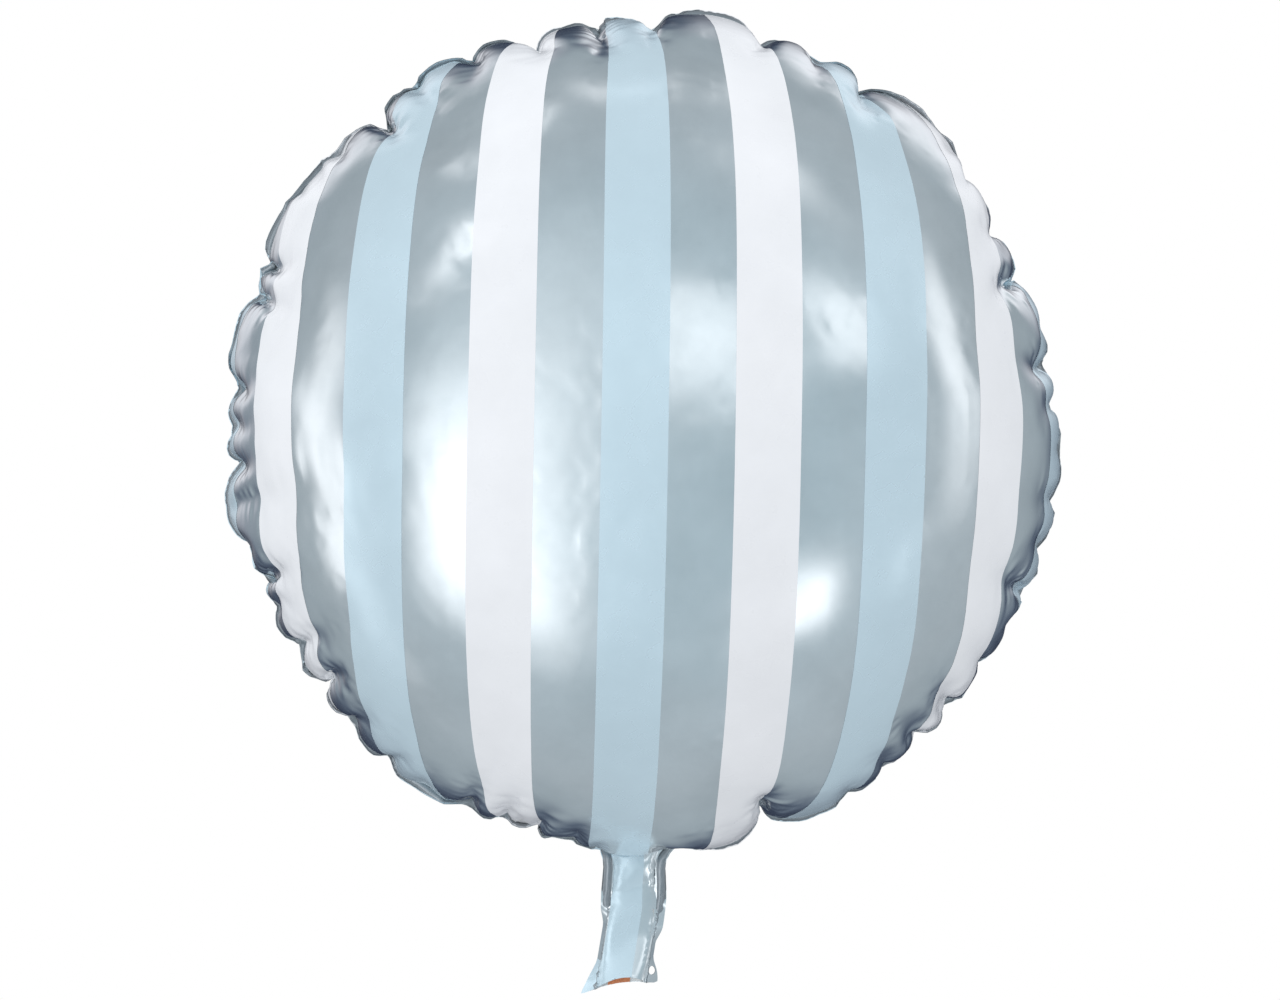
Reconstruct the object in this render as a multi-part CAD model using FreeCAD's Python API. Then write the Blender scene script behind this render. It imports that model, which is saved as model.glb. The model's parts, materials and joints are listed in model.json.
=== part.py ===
"""Round foil balloon with a printed stripe pattern, inflated, its flat filling tail hanging below.

Two film discs are heat-sealed together round their edge. A flat two-ply valve lies in the neck and
reaches up into the gas. Below the neck the film is flat and limp, and folds to the front or back.

Frame: origin at the middle of the neck on the fold line, +Z up through the balloon's centre, front
towards -Y. Units are millimetres. The walls are thicker than real film so that they mesh; every
outline is at its real size.
"""

import FreeCAD
import Part

import math
import os
from bisect import bisect_left

from FreeCAD import Vector

os.makedirs("parts", exist_ok=True)

# ---- Driving sizes ----------------------------------------------------------------------------

FLAT_DIAMETER = 457.0  # each film disc as it is cut, laid flat: an 18 inch balloon
SEAL_WIDTH = 4.0  # heat-sealed margin outside the gas, all round
FILM = 0.5  # wall of the film
INK = 0.3  # printed layer on the film
WELD = 0.2  # fused layer between two films
PUCKERS = 46  # scallops that the sealed edge gathers into
PUCKER_DEPTH = 1.5  # how far the edge draws in between two scallops

BAND_WIDTH = 26.1  # width of every printed or bare band on the flat film
PRINT_SHIFT = -9.6  # how far the middle blue band lies off the film's centre line, seen from outside

NECK_WIDTH = 27.0  # flat width of the neck and tail, over both side seals
NECK_DROP = 22.7  # from the weld circle's lowest point down to the fold line
NECK_FILLET = 9.0  # in-plane radius where the disc's edge turns into the neck
PINCH = 0.8  # half the height left inside the film where the neck is pinched flat
NECK_SECTIONS = (  # how the neck opens: share of the drop, width past the channel's half, half-depth
    (0.42, 1.5, 5.0),
    (0.75, 4.5, 10.5),
    (1.0, 10.0, 17.5),
    (1.35, 19.0, 26.0),
)

TAIL_LENGTH = 35.0  # from the fold line to halfway between the tail's two tips
TAIL_LEAN = 8.0  # degrees that the tail hangs off the vertical, towards -X
MOUTH_SLANT = 9.8  # how much further down the tail the tip on the -X side is
EAR_REACH = 3.0  # how far each bottom corner flares past the tail's side
EAR_HEIGHT = 11.0  # length of side that the flare takes
EAR_BOW = 0.3  # how hollow the flare's side is
MOUTH_ARCH = 2.8  # how far the mouth's edge curves up between the tips
FRONT_LIFT = 2.6  # how much shorter the front ply is, so that the mouth can be found
MOUTH_GAPE = 4.6  # half the height inside the open mouth
MOUTH_OPENING = ((0.3, 0.25), (0.65, 0.72))  # shares of the tail's length, and of the gape reached there
HOLE_RADIUS = 1.8  # hanging hole punched through the ear on the +X side
HOLE_INSET = 1.3  # from the line of the tail's straight side in to the hole's centre
HOLE_DROP = 25.0  # from the fold line to the hole's centre

VALVE_PLY = 0.2  # wall of each valve ply
VALVE_REACH = 75.0  # how far the valve stands up into the gas above the fold line
VALVE_SEAL = 1.5  # side weld of the flat valve tube
VALVE_CLEARANCE = 0.8  # between the valve's edge and the inside of the neck's film
VALVE_MOUTH_GAP = 0.3  # between a valve ply and the film over it in the open mouth
ANCHOR_HEIGHT = 2.0  # weld bar that holds a valve ply to the film
CHANNEL_INK_WIDTH = 8.7  # orange release print in the valve's channel
CHANNEL_INK_LENGTH = 24.0  # from the mouth's edge upwards

FOLD_CLEARANCE = 0.3  # the tail's top edge to the fold line, and the least gap as it folds
FOLD_LIMIT = 110.0  # degrees that the tail folds to the front or the back

# ---- Sizes that follow ------------------------------------------------------------------------

FAR = 1000.0  # beyond everything, for cutting blocks
PAST = 10.0  # how far an inner shape runs past the end of the wall that it hollows
STEPS = 600  # of the numerical integrals
PROFILE_POINTS = 22  # through which the dome's profile curve is drawn

CHANNEL_HALF = NECK_WIDTH / 2 - SEAL_WIDTH  # half-width of the gas channel in the neck
SEAM_FACE = WELD / 2  # the film's inner face at a seam
NECK_HALF_DEPTH = PINCH + FILM + INK  # the flat neck's outermost face at the fold line
NECK_BOTTOM = (  # lower end of the neck's film, clear of the tail at its folding limit
    NECK_HALF_DEPTH * (1 - math.cos(math.radians(FOLD_LIMIT))) + FOLD_CLEARANCE
) / math.sin(math.radians(FOLD_LIMIT))
NECK_REACH = NECK_WIDTH / 2 + NECK_FILLET  # half-width of the film that counts as the neck
NECK_TOP = 1.15 * NECK_DROP  # height where the neck's film meets the disc's
HOLE_OFFSET = NECK_WIDTH / 2 - HOLE_INSET  # from the tail's centre line


def lobe_table(steps=STEPS):
    """(arc length, radius, half-thickness) from pole to rim of an inflated film disc of radius 1.

    Film can't stretch, so a flat disc swells to the curve whose meridians keep their length:
    radius = sqrt(sin(a)), half-thickness = integral of sqrt(sin)/2, arc = integral of 1/sqrt(sin)/2.
    """
    end = math.sqrt(math.pi / 2)
    angles = [(end * k / steps) ** 2 for k in range(steps + 1)]
    arc, fall = [0.0], [0.0]
    for low, high in zip(angles, angles[1:]):
        root_low, root_high = math.sqrt(low), math.sqrt(high)
        slope_low = math.sqrt(low / math.sin(low)) if low else 1.0
        slope_high = math.sqrt(high / math.sin(high))
        arc.append(arc[-1] + (root_high - root_low) * (slope_low + slope_high) / 2)
        fall.append(fall[-1] + (high - low) * (math.sqrt(math.sin(low)) + math.sqrt(math.sin(high))) / 4)
    return [(s, math.sqrt(math.sin(a)), fall[-1] - f) for a, s, f in zip(angles, arc, fall)]


LOBE = lobe_table()
LOBE_ARCS = [row[0] for row in LOBE]
WELD_RADIUS = (FLAT_DIAMETER / 2 - SEAL_WIDTH) / LOBE_ARCS[-1]  # of the seam, once inflated
HALF_THICKNESS = WELD_RADIUS * LOBE[0][2]
EDGE_RADIUS = WELD_RADIUS + SEAL_WIDTH  # crest of the scalloped edge
CENTRE = Vector(0, 0, NECK_DROP + WELD_RADIUS)


def inflated_radius(flat_radius):
    """Where a point at this distance from the flat disc's centre lies once inflated."""
    arc = flat_radius / WELD_RADIUS
    if arc >= LOBE_ARCS[-1]:
        return WELD_RADIUS + flat_radius - WELD_RADIUS * LOBE_ARCS[-1]
    k = max(1, bisect_left(LOBE_ARCS, arc))
    low, high = LOBE[k - 1], LOBE[k]
    share = (arc - low[0]) / (high[0] - low[0])
    return WELD_RADIUS * (low[1] + share * (high[1] - low[1]))


# ---- Small helpers ----------------------------------------------------------------------------


def save(name, *shapes):
    """Writes a node: one solid, or several separate ones."""
    solids = [solid for shape in shapes for solid in shape.Solids]
    if not solids or not all(solid.isValid() and solid.Volume > 0 for solid in solids):
        raise ValueError(f"{name} has no solid, or a solid that isn't valid")
    shape = solids[0] if len(solids) == 1 else Part.makeCompound(solids)
    shape.exportStep(f"parts/{name}.step")
    box = shape.BoundBox
    print(f"{name}: {len(solids)} solid(s), {shape.Volume / 1000:.2f} cm3, "
          f"{box.XLength:.1f} x {box.YLength:.1f} x {box.ZLength:.1f} mm")


def save_pair(name, *fronts):
    """Writes a front node and its back twin, the same turned half round the vertical axis."""
    save(name.format("front"), *fronts)
    save(name.format("back"), *(front.rotated(Vector(0, 0, 0), Vector(0, 0, 1), 180) for front in fronts))


def block(x=(-FAR, FAR), y=(-FAR, FAR), z=(-FAR, FAR)):
    """A box between two values on each axis."""
    return Part.makeBox(x[1] - x[0], y[1] - y[0], z[1] - z[0], Vector(x[0], y[0], z[0]))


def front_half(shape, face=SEAM_FACE):
    return shape.common(block(y=(-FAR, -face)))


def back_half(shape, face=SEAM_FACE):
    return shape.common(block(y=(face, FAR)))


def plate(outline, low, high):
    """The face inside a wire in the XZ plane, as a plate from y = low to y = high."""
    face = Part.Face(outline)
    solid = face.extrude(Vector(0, high - low, 0))
    solid.translate(Vector(0, low, 0))
    return solid


def spline(points, start=None, end=None):
    curve = Part.BSplineCurve()
    if start is None:
        curve.interpolate(points)
    else:
        curve.interpolate(Points=points, InitialTangent=start, FinalTangent=end)
    return curve.toShape()


def line(a, b):
    return Part.LineSegment(a, b).toShape()


def arc(a, middle, b):
    return Part.Arc(a, middle, b).toShape()


def oval_loft(sections):
    """A solid through ellipses, each (height, centre x, half-width, half-depth), lowest first."""
    wires = []
    for z, x, half_width, half_depth in sections:
        wide = half_width >= half_depth
        major = Vector(1, 0, 0) if wide else Vector(0, 1, 0)
        minor = Vector(0, 1, 0) if wide else Vector(-1, 0, 0)
        centre = Vector(x, 0, z)
        size = (half_width, half_depth) if wide else (half_depth, half_width)
        ellipse = Part.Ellipse(centre + major * size[0], centre + minor * size[1], centre)
        wires.append(Part.Wire(ellipse.toShape()))
    return Part.makeLoft(wires, True, False)


# ---- The inflated envelope --------------------------------------------------------------------


def lens(grow):
    """The whole inflated disc as a solid, grown outwards by so much from the film's inner face."""
    radius, height = WELD_RADIUS + grow, HALF_THICKNESS + grow

    def profile(side):
        points = []
        for k in range(PROFILE_POINTS + 1):
            share = math.sin(math.pi / 2 * k / PROFILE_POINTS)
            angle = math.asin(min(1.0, share * share))
            points.append(Vector(radius * share, side * height * thickness_share(angle), CENTRE.z))
        return points

    front, back = profile(-1), profile(1)
    outward, inward = Vector(1, 0, 0), Vector(-1, 0, 0)
    edges = [
        spline(front, outward, Vector(0, 1, 0)),
        spline(back[::-1], Vector(0, 1, 0), inward),
        line(back[0], front[0]),
    ]
    face = Part.Face(Part.Wire(edges))
    return face.revolve(CENTRE, Vector(0, 1, 0), 360)


def thickness_share(angle):
    """Half-thickness at this angle of the lobe, as a share of that at the pole."""
    end = math.sqrt(math.pi / 2)
    place = math.sqrt(angle) / end * STEPS
    k = min(STEPS - 1, int(place))
    low, high = LOBE[k][2], LOBE[k + 1][2]
    return (low + (place - k) * (high - low)) / LOBE[0][2]


def neck(grow):
    """The neck as a solid, opening from the flat pinch into the disc's underside. It runs past its end."""
    inside = CHANNEL_HALF + grow
    flat_top = NECK_BOTTOM + 0.12 * NECK_DROP
    sections = [(z, 0, inside, PINCH + grow) for z in (NECK_BOTTOM - PAST, NECK_BOTTOM)]
    sections.append((flat_top, 0, inside, 1.2 * PINCH + grow))
    sections += [(share * NECK_DROP, 0, inside + wider, deep + grow) for share, wider, deep in NECK_SECTIONS]
    return oval_loft(sections)


def gas_space(grow):
    """Everything inside the film, grown outwards by so much."""
    return lens(grow).fuse(neck(grow))


def scalloped_disc(low, high):
    """The disc's plate with a scalloped edge."""
    edges = []
    dip = EDGE_RADIUS - PUCKER_DEPTH
    for k in range(PUCKERS):
        corners = []
        for turn, radius in ((k, dip), (k + 0.5, EDGE_RADIUS), (k + 1, dip)):
            a = -math.pi / 2 + 2 * math.pi * turn / PUCKERS
            corners.append(CENTRE + Vector(radius * math.cos(a), 0, radius * math.sin(a)))
        edges.append(arc(*corners))
    return plate(Part.Wire(edges), low, high)


def neck_plate(low, high, bottom):
    """The neck's flat margins, filleted into the disc's edge on both sides."""
    half = NECK_WIDTH / 2
    ring = EDGE_RADIUS - PUCKER_DEPTH
    top = CENTRE.z - math.sqrt((ring + NECK_FILLET) ** 2 - NECK_REACH**2)  # of the fillets' centres
    turn = math.atan2(CENTRE.z - top, NECK_REACH)
    touch, middle = (
        Vector(NECK_REACH - NECK_FILLET * math.cos(a), 0, top + NECK_FILLET * math.sin(a))
        for a in (turn, turn / 2)
    )

    def left(point):
        return Vector(-point.x, 0, point.z)

    side_top, side_bottom = Vector(half, 0, top), Vector(half, 0, bottom)
    edges = [
        line(left(side_bottom), side_bottom),
        line(side_bottom, side_top),
        arc(side_top, middle, touch),
        line(touch, left(touch)),
        arc(left(touch), left(middle), left(side_top)),
        line(left(side_top), left(side_bottom)),
    ]
    return plate(Part.Wire(edges), low, high)


def margin(low, high):
    """The whole flat margin as a plate, the gas space still in it."""
    return scalloped_disc(low, high).fuse(neck_plate(low, high, NECK_BOTTOM))


# ---- The printed bands ------------------------------------------------------------------------


def band(number, shift):
    """A column along Y over one printed band. Band 0 is the middle one; side edges curve as the film does."""
    reach = FLAT_DIAMETER / 2 + 2 * SEAL_WIDTH
    sides = []
    for edge in (number - 0.5, number + 0.5):
        across = shift + edge * BAND_WIDTH
        if abs(across) >= reach:  # past the film, where a straight side does
            sides.append([CENTRE + Vector(across, 0, up) for up in (EDGE_RADIUS, 0, -EDGE_RADIUS)])
            continue
        top = math.sqrt(reach**2 - across**2)
        count = max(5, 2 * int(top / 30) + 1)
        points = []
        for k in range(count):
            up = top * (1 - 2 * k / (count - 1))
            flat = math.hypot(across, up)
            shrink = inflated_radius(flat) / flat if flat > 1e-6 else 1.0
            points.append(CENTRE + Vector(across * shrink, 0, up * shrink))
        sides.append(points)
    left, right = sides
    past = Vector(0, 0, EDGE_RADIUS)
    top_left, top_right = left[0] + past, right[0] + past
    low_left, low_right = left[-1] - past, right[-1] - past
    edges = [spline(left), line(left[-1], low_left), line(low_left, low_right),
             line(low_right, right[-1]), spline(right[::-1]), line(right[0], top_right),
             line(top_right, top_left), line(top_left, left[0])]
    return plate(Part.Wire(edges), -FAR, FAR)


def band_numbers(remainder, shift):
    """Band numbers of one colour whose band crosses the film: blue is 0 mod 4, white is 2 mod 4."""
    reach = FLAT_DIAMETER / 2
    most = int(reach / BAND_WIDTH) + 2
    return [n for n in range(-most, most + 1)
            if n % 4 == remainder and abs(shift + n * BAND_WIDTH) - BAND_WIDTH / 2 < reach - SEAL_WIDTH]


# ---- The flat tail ----------------------------------------------------------------------------


def lean(shape):
    """Turns a tail piece, made straight down, to the angle that the tail hangs at."""
    shape.rotate(Vector(0, 0, 0), Vector(0, 1, 0), TAIL_LEAN)
    return shape.common(block(z=(-FAR, -FOLD_CLEARANCE)))


def tail_outline(lift):
    """The tail's cut outline, straight down, its mouth edge lifted by so much."""
    half, tip = NECK_WIDTH / 2, NECK_WIDTH / 2 + EAR_REACH
    start = SEAL_WIDTH  # above the fold line, cut back once the tail leans
    low_left, low_right = (-TAIL_LENGTH + lift + side * MOUTH_SLANT / 2 for side in (-1, 1))
    points = [Vector(-half, 0, start), Vector(-half, 0, low_left + EAR_HEIGHT), Vector(-tip, 0, low_left),
              Vector(tip, 0, low_right), Vector(half, 0, low_right + EAR_HEIGHT), Vector(half, 0, start)]
    bow = Vector(EAR_BOW, 0, 0)
    edges = [
        line(points[0], points[1]),
        arc(points[1], (points[1] + points[2]) / 2 + bow, points[2]),
        arc(points[2], Vector(0, 0, lift - TAIL_LENGTH + MOUTH_ARCH), points[3]),
        arc(points[3], (points[3] + points[4]) / 2 - bow, points[4]),
        line(points[4], points[5]),
        line(points[5], points[0]),
    ]
    return Part.Wire(edges)


def tail_channel(half_width, closed, open_):
    """A flat tube down the tail, its half-height going from closed at the fold line to open at the mouth."""
    stations = [(-SEAL_WIDTH, 0.0), (0.0, 0.0)]
    stations += [(along * TAIL_LENGTH, share) for along, share in MOUTH_OPENING]
    stations += [(TAIL_LENGTH, 1.0), (TAIL_LENGTH + PAST, 1.05)]
    return oval_loft([(-down, 0, half_width, closed + share * (open_ - closed))
                      for down, share in reversed(stations)])


def hole_centre():
    """Centre of the hanging hole before the tail leans."""
    return Vector(HOLE_OFFSET, 0, -HOLE_DROP)


def punch(shape):
    """Cuts the hanging hole."""
    start = hole_centre() - Vector(0, FAR, 0)
    return shape.cut(Part.makeCylinder(HOLE_RADIUS, 2 * FAR, start, Vector(0, 1, 0)))


# ---- Building ---------------------------------------------------------------------------------


def build_envelope():
    """The two film discs, their print and the weld between them."""
    inside, outside, inked = gas_space(0), gas_space(FILM), gas_space(FILM + INK)
    above = block(z=(NECK_BOTTOM, FAR))
    shell = outside.cut(inside).common(above)
    print_layer = inked.cut(outside).common(above)
    seam = margin(-SEAM_FACE, SEAM_FACE).cut(outside)
    save("edge_weld", seam)

    front_margin = margin(-SEAM_FACE - FILM, -SEAM_FACE).cut(inside)
    film = front_half(shell).fuse(front_margin).removeSplitter()
    column = block(x=(-NECK_REACH, NECK_REACH), z=(-FAR, NECK_TOP))
    save_pair("{}_film", film.cut(column))
    save_pair("neck_{}_film", film.common(column))

    face = SEAM_FACE + FILM  # outer face of the flat margin
    front_ink = front_half(print_layer, face + INK).fuse(margin(-face - INK, -face).cut(outside))
    for colour, remainder in (("blue", 0), ("white", 2)):
        bands = [front_ink.common(band(n, PRINT_SHIFT)) for n in band_numbers(remainder, PRINT_SHIFT)]
        save_pair(f"{{}}_{colour}_stripes", *bands)


def build_tail():
    """The limp end of both films below the fold line, with its print and side seals."""
    inside = tail_channel(CHANNEL_HALF, PINCH, MOUTH_GAPE)
    outside = tail_channel(CHANNEL_HALF + FILM, PINCH + FILM, MOUTH_GAPE + FILM)
    inked = tail_channel(CHANNEL_HALF + FILM + INK, PINCH + FILM + INK, MOUTH_GAPE + FILM + INK)
    face = SEAM_FACE + FILM
    hole_side = block(x=(CHANNEL_HALF + FILM, FAR))  # the flat margin that the hole goes through
    blue_edge = PRINT_SHIFT + BAND_WIDTH / 2  # the middle blue band runs on down the tail

    for side, name, lift, blue in (
        (-1, "front", FRONT_LIFT, block(x=(-FAR, blue_edge))),
        (1, "back", 0.0, block(x=(-blue_edge, FAR))),
    ):
        cut_to = plate(tail_outline(lift), -FAR, FAR)
        half = front_half if side < 0 else back_half
        flat = plate(tail_outline(lift), *sorted((side * SEAM_FACE, side * face))).cut(inside)
        ply = half(outside.cut(inside)).common(cut_to).fuse(flat).removeSplitter()
        save(f"tail_{name}_film", lean(ply.cut(hole_side)))
        save(f"tail_{name}_hole_margin", lean(punch(ply.common(hole_side))))

        layer = plate(tail_outline(lift), *sorted((side * face, side * (face + INK)))).cut(outside)
        print_ = half(inked.cut(outside), face + INK).common(cut_to).fuse(layer).common(blue)
        save(f"tail_{name}_blue_print", lean(punch(print_)))

    seals = plate(tail_outline(FRONT_LIFT), -SEAM_FACE, SEAM_FACE).cut(outside)
    save("tail_side_welds", lean(punch(seals)))


def build_valve():
    """The two-ply valve: a flat tube from the mouth up into the gas, welded along its sides."""
    edge = CHANNEL_HALF - VALVE_CLEARANCE
    channel = edge - VALVE_SEAL
    inner, outer = SEAM_FACE, SEAM_FACE + VALVE_PLY
    rise = (NECK_BOTTOM, VALVE_REACH)
    save("valve_front_ply", block((-edge, edge), (-outer, -inner), rise))
    save("valve_back_ply", block((-edge, edge), (inner, outer), rise))
    save("valve_side_welds", *(block(x, (-inner, inner), rise) for x in ((-edge, -channel), (channel, edge))))

    bar = block((-edge, edge), (-2 * PINCH, 2 * PINCH), (NECK_BOTTOM, NECK_BOTTOM + ANCHOR_HEIGHT))
    bar = bar.common(neck(0))
    save("valve_anchor_welds", front_half(bar, outer), back_half(bar, outer))


def build_valve_mouth():
    """The valve's lower end, open in the mouth, with the orange release print in its channel."""
    edge = CHANNEL_HALF - VALVE_CLEARANCE
    channel = edge - VALVE_SEAL
    inner, outer = SEAM_FACE, SEAM_FACE + VALVE_PLY
    wide_open = MOUTH_GAPE - VALVE_MOUTH_GAP - VALVE_PLY
    bore = tail_channel(channel, inner, wide_open - VALVE_PLY)
    tube = tail_channel(channel + VALVE_PLY, outer, wide_open)
    clear = SEAM_FACE / 2
    film_space = tail_channel(CHANNEL_HALF - clear, PINCH - clear, MOUTH_GAPE - clear)
    strips = [block(x, (-outer, outer), (-FAR, FAR)) for x in ((-edge, -channel), (channel, edge))]
    for side, name, lift in ((-1, "front", FRONT_LIFT), (1, "back", 0.0)):
        cut_to = plate(tail_outline(lift), -FAR, FAR)
        half = front_half if side < 0 else back_half
        ply = half(tube.cut(bore), inner)
        for strip in strips:
            ply = ply.fuse(half(strip.cut(bore), inner))
        ply = ply.common(film_space).common(cut_to).removeSplitter()
        save(f"valve_mouth_{name}_ply", lean(ply))
    cut_to = plate(tail_outline(FRONT_LIFT), -FAR, FAR)
    welds = [strip.common(block(y=(-inner, inner))).cut(bore).common(cut_to) for strip in strips]
    save("valve_mouth_side_welds", *(lean(weld) for weld in welds))

    half_width = CHANNEL_INK_WIDTH / 2
    thin = tail_channel(channel - INK / 2, inner - INK / 4, wide_open - VALVE_PLY - INK / 2)
    column = block((-half_width, half_width), (inner, FAR), (-FAR, CHANNEL_INK_LENGTH - TAIL_LENGTH))
    patch = column.common(bore).cut(thin)
    save("valve_release_print", lean(patch.common(plate(tail_outline(0.0), -FAR, FAR))))


build_envelope()
build_tail()
build_valve()
build_valve_mouth()

turn = math.radians(TAIL_LEAN)
hole = hole_centre()
print(f"inflated: weld radius {WELD_RADIUS:.2f}, edge radius {EDGE_RADIUS:.2f}, "
      f"thickness {2 * (HALF_THICKNESS + FILM + INK):.2f}, centre at z {CENTRE.z:.2f}")
print(f"hanging hole centre: x {hole.x * math.cos(turn) + hole.z * math.sin(turn):.3f}, "
      f"z {-hole.x * math.sin(turn) + hole.z * math.cos(turn):.3f}")
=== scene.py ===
"""Looks of a round striped foil balloon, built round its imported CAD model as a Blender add-on.

The two films are cut flat, welded and blown up with Blender's cloth, so that the rim gathers into
real puckers. The bands of ink, the welds and the valve's mouth then follow the blown-up films.
"""

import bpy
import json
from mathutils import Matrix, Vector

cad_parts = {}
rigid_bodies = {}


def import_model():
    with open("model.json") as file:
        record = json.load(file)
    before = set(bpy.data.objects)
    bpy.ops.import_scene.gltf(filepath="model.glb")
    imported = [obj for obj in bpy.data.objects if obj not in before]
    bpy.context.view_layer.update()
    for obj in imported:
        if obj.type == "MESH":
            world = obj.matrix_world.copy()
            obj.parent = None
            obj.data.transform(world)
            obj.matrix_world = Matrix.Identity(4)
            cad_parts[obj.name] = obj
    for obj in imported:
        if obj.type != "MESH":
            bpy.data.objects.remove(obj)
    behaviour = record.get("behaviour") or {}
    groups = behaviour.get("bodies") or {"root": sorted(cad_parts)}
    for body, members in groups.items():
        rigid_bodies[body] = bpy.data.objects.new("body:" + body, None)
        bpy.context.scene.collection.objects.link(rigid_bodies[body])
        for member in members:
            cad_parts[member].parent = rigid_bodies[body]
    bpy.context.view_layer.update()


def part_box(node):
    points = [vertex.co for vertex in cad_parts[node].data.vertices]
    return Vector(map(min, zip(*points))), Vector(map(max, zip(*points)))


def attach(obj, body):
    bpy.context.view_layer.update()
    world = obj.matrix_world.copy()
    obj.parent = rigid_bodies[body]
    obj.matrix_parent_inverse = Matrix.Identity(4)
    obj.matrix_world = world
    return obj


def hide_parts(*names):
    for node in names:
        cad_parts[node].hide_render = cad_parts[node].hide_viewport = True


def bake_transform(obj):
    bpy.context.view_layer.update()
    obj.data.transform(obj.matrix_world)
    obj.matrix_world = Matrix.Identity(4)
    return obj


bl_info = {
    "name": "Striped Foil Balloon",
    "version": (1, 0, 0),
    "blender": (4, 5, 0),
    "location": "View3D > Sidebar > Balloon",
    "description": "Makes a round striped foil balloon with a flat filling tail, and its studio",
    "category": "Object",
}

import json
import math
import random

import bpy
import numpy as np
from bpy.props import FloatProperty, FloatVectorProperty, IntProperty, PointerProperty
from bpy.types import Operator, Panel, PropertyGroup
from mathutils import Quaternion, Vector
from mathutils.geometry import delaunay_2d_cdt

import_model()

# ---- Sizes read from the frame, in metres -------------------------------------------------------

DISC_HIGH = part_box("front_film")[1]
EDGE_RADIUS = DISC_HIGH.x  # of the inflated disc, over its sealed margin
CENTRE_HEIGHT = DISC_HIGH.z - EDGE_RADIUS  # of the disc, above the fold line
VALVE_LOW, VALVE_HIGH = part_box("valve_front_ply")  # the valve inside the neck and the gas

MM = 0.001


def measure(name, description, millimetres):
    """A length that a user can change."""
    return FloatProperty(name=name, description=description, default=millimetres * MM, unit="LENGTH")


def tone(name, description, default):
    """A colour that a user can change."""
    return FloatVectorProperty(
        name=name, description=description, default=default, subtype="COLOR", min=0, max=1
    )


class FilmSizes(PropertyGroup):
    """Sizes of the flat film."""

    seal: measure("Seal", "Width of the heat-sealed margin", 4.0)
    neck: measure("Neck width", "Flat width over both seals", 27.0)
    fillet: measure("Neck fillet", "Radius where disc turns into neck", 9.0)
    neck_length: measure("Neck length", "Flat film from weld circle to fold line", 28.0)
    puckers: IntProperty(
        name="Puckers", description="Gathers that the rim starts with", default=54, min=12, max=120
    )
    seed: IntProperty(name="Seed", description="Picks the puckers' widths", default=4)
    rim_cell: measure("Rim cell", "Spacing of film points near the rim", 3.2)
    middle_cell: measure("Middle cell", "Spacing of film points in the middle", 4.4)


class TailSizes(PropertyGroup):
    """Sizes of the limp tail."""

    length: measure("Length", "Fold line to halfway between the tips", 35.0)
    lean: FloatProperty(
        name="Lean", description="Angle that it hangs at", default=math.radians(8), subtype="ANGLE"
    )
    slant: measure("Mouth slant", "How much lower the left tip is", 9.8)
    arch: measure("Mouth arch", "How far the mouth curves up", 2.8)
    ear: measure("Ear reach", "How far each corner flares", 3.0)
    ear_height: measure("Ear height", "Length of side that flares", 11.0)
    lift: measure("Front lift", "How much shorter the front ply is", 2.6)
    pinch: measure("Pinch", "Half the height inside the flat neck", 1.15)
    gape: measure("Gape", "Half the height of the open mouth", 2.3)
    hole: measure("Hole radius", "Of the punched hanging hole", 1.8)
    hole_offset: measure("Hole offset", "From the tail's centre line", 12.2)
    hole_drop: measure("Hole drop", "From the fold line", 25.0)
    cell: measure("Cell", "Spacing of points on the tail", 1.7)


class PrintSizes(PropertyGroup):
    """Sizes and colours of the print."""

    band: measure("Band width", "Width of a band on the flat film", 26.1)
    shift: measure("Shift", "Middle band off the centre line", -9.6)
    ink: measure("Ink height", "How far the ink stands off the film", 0.06)
    silver: tone("Silver", "Bare film", (0.86, 0.88, 0.89))
    white: tone("White", "White ink", (0.85, 0.87, 0.9))
    blue: tone("Blue", "Pale blue ink", (0.64, 0.79, 0.87))
    orange: tone("Orange", "Release print", (0.8, 0.3, 0.13))


# ---- Shape of blown-up film ---------------------------------------------------------------------


def lobe_table(steps=800):
    """Arc length, radius and half-thickness from pole to rim of a blown-up disc of radius 1."""
    root = np.linspace(0, math.sqrt(math.pi / 2), steps + 1)
    angle = root * root
    slope = np.sqrt(np.where(angle > 0, angle / np.sin(np.maximum(angle, 1e-12)), 1.0))
    width = np.sqrt(np.sin(angle))
    arc = np.concatenate([[0], np.cumsum(np.diff(root) * (slope[1:] + slope[:-1]) / 2)])
    fall = np.concatenate([[0], np.cumsum(np.diff(angle) * (width[1:] + width[:-1]) / 4)])
    return arc, width, fall[-1] - fall


ARC, WIDTH, HEIGHT = lobe_table()


def smooth(t):
    """0 to 1 with level ends."""
    t = np.clip(t, 0.0, 1.0)
    return t * t * (3 - 2 * t)


def rise(value, start, run):
    """0 to 1 with level ends, from a start in millimetres over a run in millimetres."""
    return smooth((value - start * MM) / (run * MM))


def margin_turn(across, down):
    """Angle that the tail's sealed margins turn back by, most halfway down each side."""
    left = 1.15 * rise(down, -2, 12) * (1 - 0.75 * rise(down, 24, 10))
    right = 0.35 + 0.75 * rise(down, 6, 8) * (1 - 0.65 * rise(down, 19, 7))
    return np.where(across < 0, left, right * rise(down, -6, 8))


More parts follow.
